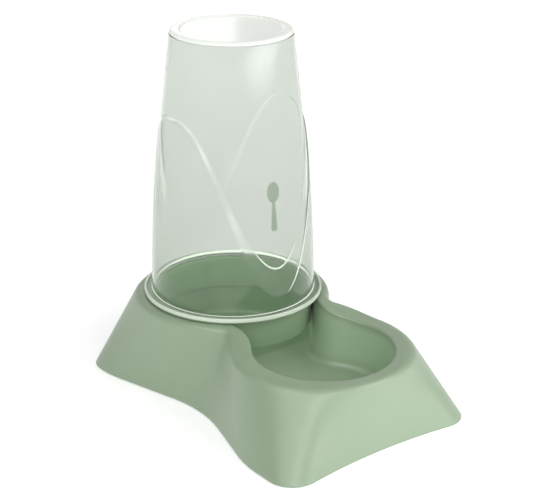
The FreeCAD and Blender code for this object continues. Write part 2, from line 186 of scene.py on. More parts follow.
# Printed spoon, in millimetres, and half the width of its soft borders: the bowl's as a share
SPOON_Y = -5.2
SPOON_Z = 190.0
SPOON_HALF_WIDTH = 5.9
SPOON_HALF_HEIGHT = 9.2
HANDLE_NARROW = 3.0
HANDLE_WIDE = 5.8
HANDLE_END = 158.4
HANDLE_TOP = 181.0
BOWL_BORDER = 0.05
HANDLE_BORDER = 0.2

# Columns of points along half of the base, round the ring or tank, round a pad, and round a bead
HALF_COLUMNS = 180
TURN_COLUMNS = 288
PAD_COLUMNS = 48
BEAD_COLUMNS = 12


# Joined rows of points

def bend(first, corner, last, steps):
    """Rows that round a corner: a quadratic curve from the first row to the last, with the corner
    row as its control, (1 - t)^2 first + 2 t (1 - t) corner + t^2 last."""
    t = np.linspace(0.0, 1.0, steps + 1)[:, None, None]
    return (1 - t) ** 2 * first + 2 * t * (1 - t) * corner + t ** 2 * last


def straight(first, last, steps):
    """Rows on the straight lines from each point of the first row to its match in the last."""
    t = np.linspace(0.0, 1.0, steps + 1)[:, None, None]
    return (1 - t) * first + t * last


def joined(*parts):
    """One grid of rows from parts that begin where the one before ends."""
    return np.concatenate([parts[0]] + [part[1:] for part in parts[1:]])


def closed(rows):
    """The rows with the first one again at their end, for a skin that closes on itself."""
    return np.concatenate([rows, rows[:1]])


def new_object(name, data):
    """An object that shows the data, in the scene."""
    piece = bpy.data.objects.new(name, data)
    bpy.context.scene.collection.objects.link(piece)
    return piece


def skin(name, rows):
    """A closed mesh from rows that each run all the way round. Neighbouring rows and columns are
    joined by four-sided faces, doubled points at the poles are merged, and faces point outwards."""
    count, columns, _ = rows.shape
    index = np.arange(count * columns).reshape(count, columns)
    ahead = np.roll(index, -1, axis=1)
    faces = np.stack([index[:-1], ahead[:-1], ahead[1:], index[1:]], axis=-1).reshape(-1, 4)
    mesh = bpy.data.meshes.new(name)
    mesh.vertices.add(count * columns)
    mesh.vertices.foreach_set("co", (rows * MM).astype(np.float32).ravel())
    mesh.loops.add(faces.size)
    mesh.loops.foreach_set("vertex_index", faces.astype(np.int32).ravel())
    mesh.polygons.add(len(faces))
    mesh.polygons.foreach_set("loop_start", np.arange(0, faces.size, 4, dtype=np.int32))
    mesh.polygons.foreach_set("loop_total", np.full(len(faces), 4, dtype=np.int32))
    mesh.update(calc_edges=True)
    mesh.validate()
    work = bmesh.new()
    work.from_mesh(mesh)
    bmesh.ops.remove_doubles(work, verts=work.verts, dist=2e-6)
    bmesh.ops.recalc_face_normals(work, faces=work.faces)
    for face in work.faces:
        face.smooth = True
    work.to_mesh(mesh)
    work.free()
    return new_object(name, mesh)


# Outlines of the base on the side of +Y, from the tank's end to the bowl's end

def follow(start_x, stretches, distance):
    """Points and outward directions along joined lines and arcs. The heading starts along +Y and
    turns at each stretch's even rate k, so a stretch moves the point by the integral of
    (cos h, sin h), which is (sin h2 - sin h1, cos h1 - cos h2) / k, or a straight step where k is
    nil."""
    x = start_x + 0.0 * distance
    y = 0.0 * distance
    heading = math.pi / 2 + 0.0 * distance
    begun = 0.0
    for length, rate in stretches:
        inside = np.clip(distance - begun, 0.0, length)
        turned = heading + rate * inside
        if np.all(rate == 0):
            x = x + inside * np.cos(heading)
            y = y + inside * np.sin(heading)
        else:
            x = x + (np.sin(turned) - np.sin(heading)) / rate
            y = y + (np.cos(heading) - np.cos(turned)) / rate
        heading = turned
        begun = begun + length
    return x, y, -np.sin(heading), np.cos(heading)


def side_bends(run, slope):
    """Lean of the slope between a straight side and the waist, and the radii of the bends at its
    ends. The straight between the bends has the given length, so the lean a solves
    (run - slope cos a) tan(a / 2) + slope sin a = depth, which halving finds."""
    depth = FOOT_HALF_WIDTH - WAIST_HALF_WIDTH
    low, high = 0.0, math.pi / 2
    for _ in range(60):
        lean = (low + high) / 2
        reached = (run - slope * math.cos(lean)) * math.tan(lean / 2) + slope * math.sin(lean)
        if reached < depth:
            low = lean
        else:
            high = lean
    radii = (run - slope * math.cos(lean)) / math.sin(lean)
    return lean, BEND_SHARE * radii, (1 - BEND_SHARE) * radii


def foot_stretches():
    """Lengths and rates of turn of the foot's outline, and the distances that match it to the rim:
    hollow end, corner, side, slope, waist, slope, side, corner, hollow end."""
    reach = FOOT_HALF_WIDTH - FOOT_CORNER
    end_radius = (reach ** 2 + END_HOLLOW ** 2) / (2 * END_HOLLOW) - FOOT_CORNER
    lean = math.asin(reach / (end_radius + FOOT_CORNER))
    straight_end = FOOT_HALF_LENGTH - FOOT_CORNER
    fall, tank_outer, tank_inner = side_bends(WAIST_X + straight_end - TANK_SIDE, TANK_SLOPE)
    rise, bowl_outer, bowl_inner = side_bends(straight_end - BOWL_SIDE - WAIST_X, BOWL_SLOPE)
    stretches = (
        (end_radius * lean, 1 / end_radius),
        (FOOT_CORNER * (math.pi / 2 + lean), -1 / FOOT_CORNER),
        (TANK_SIDE, 0.0),
        (tank_outer * fall, -1 / tank_outer),
        (TANK_SLOPE, 0.0),
        (tank_inner * fall, 1 / tank_inner),
        (bowl_inner * rise, 1 / bowl_inner),
        (BOWL_SLOPE, 0.0),
        (bowl_outer * rise, -1 / bowl_outer),
        (BOWL_SIDE, 0.0),
        (FOOT_CORNER * (math.pi / 2 + lean), -1 / FOOT_CORNER),
        (end_radius * lean, 1 / end_radius),
    )
    ends = np.cumsum([0.0] + [length for length, _ in stretches])
    on_slope = ends[4] + SLOPE_MARK * (ends[5] - ends[4])
    marks = np.array([0.0, (ends[1] + ends[2]) / 2, on_slope, ends[6], (ends[8] + ends[9]) / 2,
                      (ends[10] + ends[11]) / 2, ends[12]])
    return stretches, marks


def keyhole_stretches(tank_radius, bowl_x, bowl_radius, neck):
    """Lengths, rates and marks of two circles that a fillet joins. The fillet touches both circles
    and its crest is the neck's half width from the axis, which makes its radius the small root of a
    quadratic. Radii may be arrays, one value for each point."""
    span = bowl_x - TANK_X
    along = (span ** 2 + tank_radius ** 2 - bowl_radius ** 2) / (2 * span)
    rate = (tank_radius - bowl_radius) / span
    linear = along * rate + neck - tank_radius
    constant = along ** 2 + neck ** 2 - tank_radius ** 2
    fillet = constant / (-linear + np.sqrt(linear ** 2 - rate ** 2 * constant))
    centre_x = TANK_X + along + rate * fillet
    tank_angle = np.arctan2(neck + fillet, centre_x - TANK_X)
    bowl_angle = np.arctan2(neck + fillet, centre_x - bowl_x)
    tank_run = tank_radius * (math.pi - tank_angle)
    fillet_run = fillet * (bowl_angle - tank_angle)
    stretches = (
        (tank_run, -1 / tank_radius),
        (fillet_run, 1 / fillet),
        (bowl_radius * bowl_angle, -1 / bowl_radius),
    )
    corner = math.atan2(FOOT_HALF_WIDTH, FOOT_HALF_LENGTH + TANK_X)
    far_corner = math.atan2(FOOT_HALF_WIDTH, FOOT_HALF_LENGTH - BOWL_X)
    bowl_start = tank_run + fillet_run
    marks = np.array(np.broadcast_arrays(
        0.0 * tank_run, tank_radius * corner, tank_radius * TANK_MARK,
        tank_run + fillet_run / 2, bowl_start + bowl_radius * (bowl_angle - BOWL_MARK),
        bowl_start + bowl_radius * (bowl_angle - far_corner),
        bowl_start + bowl_radius * bowl_angle))
    return stretches, marks


def eased(share, places, marks):
    """Distance at a share of the outline: cubic Hermite steps through the marks, whose slopes are
    the weighted means of their neighbours', so that matched rulings turn evenly."""
    gaps = np.diff(places)
    spans = gaps.reshape((-1,) + (1,) * (marks.ndim - 1))
    slopes = np.diff(marks, axis=0) / spans
    ahead, behind = spans[1:], spans[:-1]
    inner = (slopes[:-1] * ahead + slopes[1:] * behind) / (ahead + behind)
    rates = np.concatenate([slopes[:1], inner, slopes[-1:]])
    k = np.clip(np.searchsorted(places, share, side="left") - 1, 0, len(gaps) - 1)
    t = (share - places[k]) / gaps[k]
    pick = (lambda table, row: table[row]) if marks.ndim == 1 else (
        lambda table, row: table[row, np.arange(len(share))])
    return ((2 * t ** 3 - 3 * t ** 2 + 1) * pick(marks, k)
            + (t ** 3 - 2 * t ** 2 + t) * gaps[k] * pick(rates, k)
            + (3 * t ** 2 - 2 * t ** 3) * pick(marks, k + 1)
            + (t ** 3 - t ** 2) * gaps[k] * pick(rates, k + 1))


def rim_z(x):
    """Height of the rim: level round the tank, an even S down the neck, level round the bowl."""
    t = np.clip((x - TANK_X - SLOPE_START) / SLOPE_LENGTH, 0.0, 1.0)
    return SEAT_Z - (SEAT_Z - RIM_Z) * t * t * (3 - 2 * t)


FOOT, FOOT_MARKS = foot_stretches()
CREASE, CREASE_MARKS = keyhole_stretches(SEAT_RADIUS, RIM_X, RIM_RADIUS, RIM_NECK)
PLACES = (FOOT_MARKS / FOOT_MARKS[-1] + CREASE_MARKS / CREASE_MARKS[-1]) / 2
SHARES = np.linspace(0.0, 1.0, HALF_COLUMNS + 1)


def around(x, y, z):
    """A row all the way round from its half with y at or above zero: the half and its mirror."""
    half = np.stack([x, y, z + 0.0 * x], axis=-1)
    other = half[-2:0:-1] * np.array([1.0, -1.0, 1.0])
    return np.concatenate([half, other])


def foot_row(offset, z):
    """The foot's outline moved out by an offset."""
    x, y, nx, ny = follow(END_HOLLOW - FOOT_HALF_LENGTH, FOOT, eased(SHARES, PLACES, FOOT_MARKS))
    return around(x + nx * offset, y + ny * offset, z)


def crease_row(offset, drop):
    """The rim's outer edge moved out by an offset and lowered by a drop."""
    x, y, nx, ny = follow(TANK_X - SEAT_RADIUS, CREASE, eased(SHARES, PLACES, CREASE_MARKS))
    x = x + nx * offset
    return around(x, y + ny * offset, rim_z(x) - drop)


def basin_row(offset, level):
    """The drafted wall of the well, neck and bowl at a level, a number or a rule of x. Each point
    takes the keyhole of its own level, whose radii shrink with the depth below the seat. Three
    rounds settle a level that follows x."""
    z = (level(TANK_X) if callable(level) else level) + 0.0 * SHARES
    for _ in range(3):
        lean = (SEAT_Z - z) * DRAFT
        stretches, marks = keyhole_stretches(
            WELL_RADIUS - lean, BOWL_X, BOWL_RADIUS - lean, NECK_HALF_WIDTH - lean)
        x, y, nx, ny = follow(TANK_X - WELL_RADIUS + lean, stretches, eased(SHARES, PLACES, marks))
        if callable(level):
            z = level(x)
    return around(x + nx * offset, y + ny * offset, z)


def spine_row(row):
    """The row drawn in to the line between the two axes, which closes a level floor."""
    return np.stack([np.clip(row[:, 0], TANK_X, BOWL_X), 0.0 * row[:, 1], row[:, 2]], axis=-1)


def toward(row, other, distance):
    """A row moved towards another by a distance."""
    step = other - row
    return row + step * (distance / np.linalg.norm(step, axis=-1, keepdims=True))


def base_rows():
    """The whole skin of the base, from the middle of its floor over the rim and the skirt to the
    middle of its underside: straight rulings between matched rows, with quadratic rounds."""
    floor_rim = basin_row(-FLOOR_FILLET, FLOOR_Z)
    wall_foot = basin_row(0.0, FLOOR_Z + FLOOR_FILLET)
    wall_top = basin_row(0.0, lambda x: rim_z(x) - LIP_ROUND)
    rim_inner = basin_row(LIP_ROUND, rim_z)
    edge = FOOT_EDGE_ROUND
    foot = foot_row(0.0, PAD_PROUD)
    foot_under = foot_row(-edge, PAD_PROUD)
    foot_inner = foot_row(edge - BASE_WALL, PAD_PROUD)
    crease = crease_row(0.0, 0.0)
    rim_outer = crease_row(-RIM_ROUND, 0.0)
    shoulder = toward(crease, foot, RIM_ROUND)
    foot_side = toward(foot, crease, edge)
    inner_foot = foot_row(-BASE_WALL, PAD_PROUD)
    hollow_edge = crease_row(-BASE_WALL, BASE_WALL)
    hollow_foot = toward(inner_foot, hollow_edge, edge)
    hollow_side = toward(hollow_edge, inner_foot, RIM_ROUND - BASE_WALL)
    hollow_top = crease_row(-RIM_ROUND, BASE_WALL)
    hollow_rim = basin_row(BASE_WALL, lambda x: rim_z(x) - BASE_WALL)
    hollow_floor = basin_row(BASE_WALL, FLOOR_Z - BASE_WALL)
    return joined(
        straight(spine_row(floor_rim), floor_rim, 6),
        bend(floor_rim, basin_row(0.0, FLOOR_Z), wall_foot, 9),
        straight(wall_foot, wall_top, 10),
        bend(wall_top, basin_row(0.0, rim_z), rim_inner, 7),
        straight(rim_inner, rim_outer, 4),
        bend(rim_outer, crease, shoulder, 9),
        straight(shoulder, foot_side, 24),
        bend(foot_side, foot, foot_under, 3),
        straight(foot_under, foot_inner, 1),
        bend(foot_inner, inner_foot, hollow_foot, 3),
        straight(hollow_foot, hollow_side, 10),
        bend(hollow_side, hollow_edge, hollow_top, 5),
        straight(hollow_top, hollow_rim, 2),
        straight(hollow_rim, hollow_floor, 6),
        straight(hollow_floor, spine_row(hollow_floor), 4),
    )


# Turned pieces

def ring_angles(columns):
    """Even angles once round."""
    return np.arange(columns) * (2 * math.pi / columns)


def rounded_profile(corners):
    """Points of a closed or pole-to-pole profile of (radius, z, round). A corner with a round
    becomes a quadratic curve that starts and ends that far from it along its two sides."""
    points = []
    for i, (r, z, size) in enumerate(corners):
        here = np.array([r, z])
        if not size:
            points.append(here[None])
            continue
        before = np.array(corners[i - 1][:2]) - here
        after = np.array(corners[(i + 1) % len(corners)][:2]) - here
        start = here + before * (size / np.linalg.norm(before))
        stop = here + after * (size / np.linalg.norm(after))
        t = np.linspace(0.0, 1.0, 6)[:, None]
        points.append((1 - t) ** 2 * start + 2 * t * (1 - t) * here + t ** 2 * stop)
    return np.concatenate(points)


def turned(profile, centre_x, centre_y, columns):
    """Rows of a profile turned about an upright axis: (r cos a, r sin a, z) for each angle a."""
    a = ring_angles(columns)
    r, z = profile[:, :1], profile[:, 1:]
    return np.stack([centre_x + r * np.cos(a), centre_y + r * np.sin(a), z + 0.0 * a], axis=-1)


def ring_rows():
    """The flow ring: a thin wall that hangs from a flat lip, with every edge a little round."""
    outer = WELL_RADIUS - RING_GAP
    inner = outer - RING_WALL
    top = SEAT_Z + RING_SEAT_GAP + LIP_THICKNESS
    low = SEAT_Z + RING_SEAT_GAP - RING_DROP
    lip = WELL_RADIUS + RING_LIP
    profile = rounded_profile((
        (inner, low, 0.7), (outer, low, 0.7), (outer, SEAT_Z + RING_SEAT_GAP, 0.4),
        (lip, SEAT_Z + RING_SEAT_GAP, 0.3), (lip, top, 0.4), (inner, top, 0.7)))
    return turned(closed(profile), TANK_X, 0.0, TURN_COLUMNS)


def pad_rows(x, y):
    """A foot pad: a low rubber disc with a shallow dish beneath and a soft lower edge."""
    profile = rounded_profile((
        (0.0, PAD_THICKNESS, 0), (PAD_RADIUS, PAD_THICKNESS, 0.3), (PAD_RADIUS, 0.0, 0.8),
        (PAD_RADIUS - 1.8, 0.0, 0.3), (PAD_RADIUS - 2.4, 0.3, 0.3), (0.0, 0.3, 0)))
    return turned(profile, x, y, PAD_COLUMNS)


def boss_rows(x, y):
    """A boss under a corner of the base: a stud with a recess for its foot pad."""
    recess = PAD_RADIUS + PAD_PLAY
    profile = rounded_profile((
        (0.0, BOSS_TOP, 0), (BOSS_RADIUS, BOSS_TOP, 0.4), (BOSS_RADIUS, PAD_PROUD, 0.4),
        (recess, PAD_PROUD, 0.3), (recess, PAD_THICKNESS, 0.2), (0.0, PAD_THICKNESS, 0)))
    return turned(profile, x, y, PAD_COLUMNS)


# The tank

def bowed(z, low, low_radius, high, high_radius, bow):
    """Radius of a side that bulges between two heights: a straight taper plus a flat arc."""
    taper = low_radius + (high_radius - low_radius) * (z - low) / (high - low)
    return taper + (z - low) * (high - z) / (2 * bow)


def barrel(z):
    """Radius of the tank's side below the wave."""
    return bowed(z, 0.0, MOUTH_RADIUS, PEAK_Z, BARREL_RADIUS, BARREL_BOW)


def panel(z):
    """Radius of the tank's side above the wave."""
    return bowed(z, TROUGH_Z + TROUGH_STEP, PANEL_RADIUS, TANK_HEIGHT, CROWN_RADIUS, PANEL_BOW)


def wave_foot(a):
    """Height of the wave's outer edge: lowest towards the bowl and behind, highest at the sides,
    trough + rise (1 - |cos a|^p)."""
    return TROUGH_Z + (PEAK_Z - TROUGH_Z) * (1 - np.abs(np.cos(a)) ** WAVE_POWER)


def wave_head(a):
    """Height of the wave's inner edge, where its slope, which is tall at the troughs and short at
    the peaks, meets the panel."""
    step = PEAK_STEP + (TROUGH_STEP - PEAK_STEP) * np.abs(np.cos(a)) ** SLOPE_POWER
    return wave_foot(a) + step


def tank_points(a, r, z):
    """Points of the tank from angle, radius and height, turned a little in its seat."""
    a, r, z = np.broadcast_arrays(a + TANK_TURN, r, z)
    seat = SEAT_Z + RING_SEAT_GAP + LIP_THICKNESS
    return np.stack([TANK_X + r * np.cos(a), r * np.sin(a), z + seat], axis=-1)


def tank_row(r, z):
    """A row all the way round the tank from its radius and height at each angle."""
    return tank_points(ring_angles(TURN_COLUMNS), r, z)


def side_rows(radius, low, high, inset, steps):
    """Rows up a bowed side between two heights that may change with the angle."""
    t = np.linspace(0.0, 1.0, steps + 1)
    return np.stack([tank_row(radius(low + (high - low) * s) - inset, low + (high - low) * s)
                     for s in t])


def wall_rows(inset, start, stop):
    """The tank's side from near its mouth to near its closed end: barrel, wave and panel. The
    wave's two edges are rounded by quadratic curves that reach a little way from them."""
    a = ring_angles(TURN_COLUMNS)
    foot, head = wave_foot(a), wave_head(a)
    reach = np.minimum(WAVE_SOFT, WAVE_SOFT_SHARE * (head - foot))
    edge = tank_row(barrel(foot) - inset, foot)
    root = tank_row(panel(head) - inset, head)
    below = tank_row(barrel(foot - reach) - inset, foot - reach)
    above = tank_row(panel(head + reach) - inset, head + reach)
    share = (reach / (head - foot))[:, None]
    slope_low = edge + (root - edge) * share
    slope_high = root + (edge - root) * share
    return joined(
        side_rows(barrel, start + 0.0 * a, foot - reach, inset, 18),
        bend(below, edge, slope_low, 6),
        straight(slope_low, slope_high, 5),
        bend(slope_high, root, above, 6),
        side_rows(panel, head + reach, stop + 0.0 * a, inset, 18),
    )


def profile_rows(corners):
    """Rows round the tank from the rounded profile of (radius, z, round)."""
    return np.stack([tank_row(r, z) for r, z in rounded_profile(corners)])


def crown_profile():
    """The outside of the tank's closed end, from its side over the round to the recess's middle."""
    below, recess = TANK_HEIGHT - CROWN_ROUND - EDGE_ROW, TANK_HEIGHT - RECESS_DEPTH
    return rounded_profile((
        (panel(below), below, 0), (CROWN_RADIUS, TANK_HEIGHT, CROWN_ROUND),
        (RECESS_RADIUS, TANK_HEIGHT, 0.8), (RECESS_RADIUS - RECESS_DEPTH, recess, 0.6),
        (RECESS_RADIUS / 2, recess, 0), (0.0, recess, 0)))


def cup_rows():
    """The tank's wall above its flange, up the side to the crown's round and down inside."""
    foot, crown = CUP_FOOT + PIECE_GAP, crown_profile()[1:CROWN_SPLIT + 1]
    out, (up, top) = barrel(foot), crown[-1]
    inner = panel(top) - TANK_WALL
    mouth = ((out - TANK_WALL, foot + CHAMFER), (out - TANK_WALL + CHAMFER, foot),
             (out - CHAMFER, foot), (out, foot + CHAMFER))
    edge = ((up - CHAMFER, top), (inner + CHAMFER, top), (inner, top - CHAMFER))
    return closed(np.concatenate([
        np.stack([tank_row(r, z) for r, z in mouth]),
        wall_rows(0.0, foot + EDGE_ROW, crown[0, 1] - EDGE_ROW / 2),
        np.stack([tank_row(r, z) for r, z in (*crown, *edge)]),
        wall_rows(TANK_WALL, foot + EDGE_ROW, top - EDGE_ROW)[::-1],
    ]))


def cap_rows():
    """The tank's closed end: its crown and recessed disc, which stand on the wall and reach down
    inside it by the thickness of the plastic."""
    outside = crown_profile()[CROWN_SPLIT:] + np.array([0.0, PIECE_GAP])
    edge, top = outside[0]
    inner = panel(top) - TANK_WALL - PIECE_GAP
    low = TANK_HEIGHT - RECESS_DEPTH - TANK_WALL
    corners = [(0.0, low, 0), (inner, low, 0.3), (inner, top - CHAMFER, 0),
               (inner + CHAMFER, top, 0), (edge - CHAMFER, top, 0), (edge, top + CHAMFER, 0)]
    return profile_rows(corners + [(r, z, 0) for r, z in outside[1:]])


def ring_of(corners):
    """A closed ring round the tank from its rounded profile."""
    return closed(profile_rows(corners))


def flange_rows():
    """The flange's flat plate round the tank's mouth."""
    return ring_of((
        (MOUTH_RADIUS - TANK_WALL, 0.0, 0.5), (FLANGE_RADIUS, 0.0, 0.6),
        (FLANGE_RADIUS, EDGE_FOOT, 0.1), (FLANGE_RADIUS - FLANGE_EDGE, EDGE_FOOT, 0.1),
        (FLANGE_RADIUS - FLANGE_EDGE, FLANGE_PLATE, 0.1),
        (MOUTH_RADIUS - TANK_WALL, FLANGE_PLATE, 0.1)))


def flange_edge_rows():
    """The flange's turned-up edge, thick and white."""
    inner = FLANGE_RADIUS - FLANGE_EDGE + PIECE_GAP
    foot = EDGE_FOOT + PIECE_GAP
    return ring_of(((inner, foot, 0.1), (FLANGE_RADIUS, foot, 0.1),
                    (FLANGE_RADIUS, FLANGE_HEIGHT, 0.7), (inner, FLANGE_HEIGHT, 0.7)))


def foot_bead_rows():
    """A painted highlight round the foot of the tank's wall, a bead with an ellipse
    (cos t, 1 + sin t) as its section, whose height is greater behind than in front."""
    a = ring_angles(TURN_COLUMNS)
    behind = (1 + np.cos(a - math.radians(FOOT_BEAD_WIDEST))) / 2
    half = (FOOT_BEAD_THIN + (FOOT_BEAD_WIDE - FOOT_BEAD_THIN) * behind) / 2
    t = ring_angles(BEAD_COLUMNS)[:, None]
    return closed(tank_row(barrel(FOOT_BEAD_Z) + FOOT_BEAD_PROUD * np.cos(t),
                           FOOT_BEAD_Z + half * (1 + np.sin(t))))


def wave_bead_rows(edge, side, start, stop, widest):
    """A painted highlight along an edge of the wave between two angles in degrees, a thin bead on
    the tank's skin. Its half width swells from nil at the ends by the root of a half sine, and it
    is half as deep."""
    share = np.linspace(0.0, 1.0, 121)
    a = np.radians(start + (stop - start) * share)
    line = tank_points(a, side(edge(a)), edge(a))
    out = np.stack([np.cos(a + TANK_TURN), np.sin(a + TANK_TURN), 0.0 * a], axis=-1)
    across = np.cross(np.gradient(line, axis=0), out)
    across /= np.linalg.norm(across, axis=-1, keepdims=True)
    swell = (widest * np.sqrt(np.clip(np.sin(math.pi * share), 0.0, 1.0)))[:, None, None]
    t = ring_angles(BEAD_COLUMNS)[None, :, None]
    return line[:, None] + swell * (np.sin(t) * across[:, None] + 0.5 * np.cos(t) * out[:, None])


# Marks on the points, which the materials read

def points_of(piece):
    """The x, y and z of a piece's points in millimetres."""
    points = np.empty(len(piece.data.vertices) * 3, dtype=np.float32)
    piece.data.vertices.foreach_get("co", points)
    return points.reshape(-1, 3).T / MM


def write_marks(piece, **marks):
    """Stores each named mark, one value for each point of a piece."""
    for name, values in marks.items():
        layer = piece.data.attributes.new(name, "FLOAT", "POINT")
        layer.data.foreach_set("value", values.astype(np.float32))
    return piece


def ramp(value, start, stop):
    """A share that goes evenly from nil at the start to one at the stop."""
    return np.clip((value - start) / (stop - start), 0.0, 1.0)


def window(value, begin, full, fade, end):
    """A share that rises from nil to one between the first two places and falls back to nil
    between the last two."""
    return ramp(value, begin, full) * ramp(value, end, fade)


def mark_wave(piece):
    """Writes on each point of the tank's wall how far up the wave's slope it lies, nil at its outer
    edge and one at its inner edge, how strong the slope's painted highlight is, how steep the slope
    is there, and how strong its painted glow is. The right flank's painted glow is strongest at
    its outer edge."""
    x, y, z = points_of(piece)
    a = np.arctan2(y, x - TANK_X) - TANK_TURN
    foot = wave_foot(a)
    share = (z - SEAT_Z - RING_SEAT_GAP - LIP_THICKNESS - foot) / (wave_head(a) - foot)
    turn = np.degrees((a + math.pi) % (2 * math.pi) - math.pi)
    right, left = window(turn, *RIGHT_FLANK), window(turn, *LEFT_FLANK)
    upper = RIGHT_LIGHT + (1 - RIGHT_LIGHT) * ramp(share, LIGHT_ENDS, LIGHT_FULL)
    return write_marks(
        piece, wave_share=np.clip(share, -3.0, 4.0),
        wave_pale=window(turn, *NEAR_ARCH) + FAR_PALENESS * window(turn, *FAR_ARCH),
        wave_steep=left + RIGHT_ROUGHNESS * right, wave_lit=LEFT_LIGHT * left + right * upper)


def mark_basin(piece):
    """Writes on each point of the base its painted shading: up to one in the bowl and the neck,
    for painted light, down to minus one in the well, for a greener painted shading, and nil on
    the rim and the skirt."""
    x, y, z = points_of(piece)
    in_bowl = np.hypot(x - BOWL_X, y) < BOWL_RADIUS + ROUND_MARGIN
    in_well = np.hypot(x - TANK_X, y) < WELL_RADIUS + ROUND_MARGIN
    in_neck = (np.abs(y) < NECK_HALF_WIDTH + NECK_MARGIN) & (x > TANK_X) & (x < BOWL_X)
    inside = (in_bowl | in_well | in_neck) & (z > FLOOR_Z - FLOOR_MARGIN)
    along = ramp(x, WELL_TONE_END, BOWL_TONE_START)
    depth = ramp(rim_z(x) - z, 0.0, TONE_DEPTH)
    wall = FLOOR_TONE + (1 - FLOOR_TONE) * ramp(z, FLOOR_Z, FLOOR_Z + TONE_HEIGHT)
    return write_marks(
        piece, basin_tone=np.where(inside, depth * (along * wall - (1 - along)), 0.0))


def mark_ring(piece):
    """Writes on the flow ring's inner side the well's full painted shading, a greener colour."""
    x, y, _ = points_of(piece)
    inside = np.hypot(x - TANK_X, y) < WELL_RADIUS - RING_GAP - RING_WALL / 2
    return write_marks(piece, basin_tone=-1.0 * inside)


def mark_bead(piece, inside):
    """Writes on each point of a bead its painted glow: a little outside the tank's wall, and as
    given inside it, strongest behind and halving towards the front."""
    x, y, _ = points_of(piece)
    radius = np.hypot(x - TANK_X, y)
    behind = 0.5 + 0.5 * (y * GLOW_SIDE[1] + (x - TANK_X) * GLOW_SIDE[0]) / radius
    deep = radius < barrel(FOOT_BEAD_Z) - GLOW_DEPTH
    glow = np.where(deep, inside * (0.5 + 0.5 * behind), OUTER_GLOW)
    return write_marks(piece, bead_glow=glow)


# Materials

def srgb(red, green, blue):
    """A colour of the renderer from its values out of 255 on a screen."""
    return tuple(((c / 255 + 0.055) / 1.055) ** 2.4 for c in (red, green, blue)) + (1.0,)


BLACK = (0.0, 0.0, 0.0, 1.0)
# Painted shading of the basin: the bowl's paler painted light and the well's greener colour
BOWL_TINT = srgb(160, 184, 152)
WELL_TINT = srgb(120, 156, 110)
DUST_TINT = srgb(214, 220, 208)
PRINT_TINT = srgb(182, 193, 177)

# The tank's wall: its colour seen edge-on, of its shadow, of the painted glow in the wave's
# flanks, and of the plastic itself with its density per metre
EDGE_ON_TINT = srgb(160, 180, 154)
SHADOW_TINT = srgb(245, 248, 244)
GATHERED_LIGHT = (0.32, 0.37, 0.31, 1.0)
WALL_TINT = (0.637, 0.705, 0.600, 1.0)
WALL_DENSITY = 106.0


def new_group(name, inputs, outputs):
    """An empty node group with named sockets: name, kind and default value of each input."""
    group = bpy.data.node_groups.new(name, "ShaderNodeTree")
    for label, kind, default in inputs:
        socket = group.interface.new_socket(label, in_out="INPUT", socket_type=kind)
        if default is not None:
            socket.default_value = default
    for label, kind in outputs:
        group.interface.new_socket(label, in_out="OUTPUT", socket_type=kind)
    entry = group.nodes.new("NodeGroupInput")
    leaving = group.nodes.new("NodeGroupOutput")
    return group, entry, leaving


def add(tree, kind, **settings):
    """A node with its properties set, and its inputs set or linked by name."""
    node = tree.nodes.new(kind)
    inputs = settings.pop("inputs", {})
    for key, value in settings.items():
        setattr(node, key, value)
    for key, value in inputs.items():
        if isinstance(value, bpy.types.NodeSocket):
            tree.links.new(value, node.inputs[key])
        else:
            node.inputs[key].default_value = value
    return node


def calculate(tree, operation, first, second=0.0, third=0.0, clamp=False):
    """The output of a Math node on numbers or sockets."""
    return add(tree, "ShaderNodeMath", operation=operation, use_clamp=clamp,
               inputs={0: first, 1: second, 2: third}).outputs[0]


def ranged(tree, value, start, stop, first=0.0, last=1.0, **settings):
    """The value's place between start and stop, as a number between first and last."""
    return add(tree, "ShaderNodeMapRange", **settings,
               inputs={"Value": value, "From Min": start, "From Max": stop, "To Min": first,
                       "To Max": last}).outputs["Result"]


def noise(tree, vector, scale, detail, roughness=0.5, distortion=0.0):
    """The value of a Noise node."""
    return add(tree, "ShaderNodeTexNoise",
               inputs={"Vector": vector, "Scale": scale, "Detail": detail,
                       "Roughness": roughness, "Distortion": distortion}).outputs["Fac"]


def blended(tree, share, first, second):
    """The colour at a share of the way from the first to the second."""
    return add(tree, "ShaderNodeMix", data_type="RGBA",
               inputs={0: share, 6: first, 7: second}).outputs[2]


def marked(tree, name):
    """The mark that a piece's points hold under a name."""
    return add(tree, "ShaderNodeAttribute", attribute_name=name).outputs["Fac"]


def shown(tree, shader):
    """A material's output node, which shows a shader on the surface."""
    return add(tree, "ShaderNodeOutputMaterial", inputs={"Surface": shader.outputs[0]})


def moulded_skin_group():
    """The skin that a mould leaves: a fine pebble, a slow unevenness and faint flow marks.
    Its outputs are a height for the bump, a roughness and a mask of the flow marks."""
    group, entry, leaving = new_group(
        "moulded_skin",
        (("Vector", "NodeSocketVector", None), ("Pebble Scale", "NodeSocketFloat", 900.0),
         ("Roughness", "NodeSocketFloat", 0.5), ("Roughness Spread", "NodeSocketFloat", 0.06),
         ("Unevenness", "NodeSocketFloat", 0.2)),
        (("Height", "NodeSocketFloat"), ("Roughness", "NodeSocketFloat"),
         ("Mask", "NodeSocketFloat")))
    vector = entry.outputs["Vector"]
    pebble = noise(group, vector, entry.outputs["Pebble Scale"], 2.0, roughness=0.55)
    slow = noise(group, vector, 22.0, 3.0)
    flow = noise(group, vector, 7.0, 1.0, distortion=1.2)
    uneven = calculate(group, "MULTIPLY", slow, entry.outputs["Unevenness"])
    rough = calculate(group, "MULTIPLY_ADD", calculate(group, "SUBTRACT", slow, 0.5),
                      entry.outputs["Roughness Spread"], entry.outputs["Roughness"])
    for label, value in (("Height", calculate(group, "ADD", pebble, uneven)),
                         ("Roughness", rough),
                         ("Mask", calculate(group, "ADD", flow, 0.0, clamp=True))):
        group.links.new(value, leaving.inputs[label])
    return group


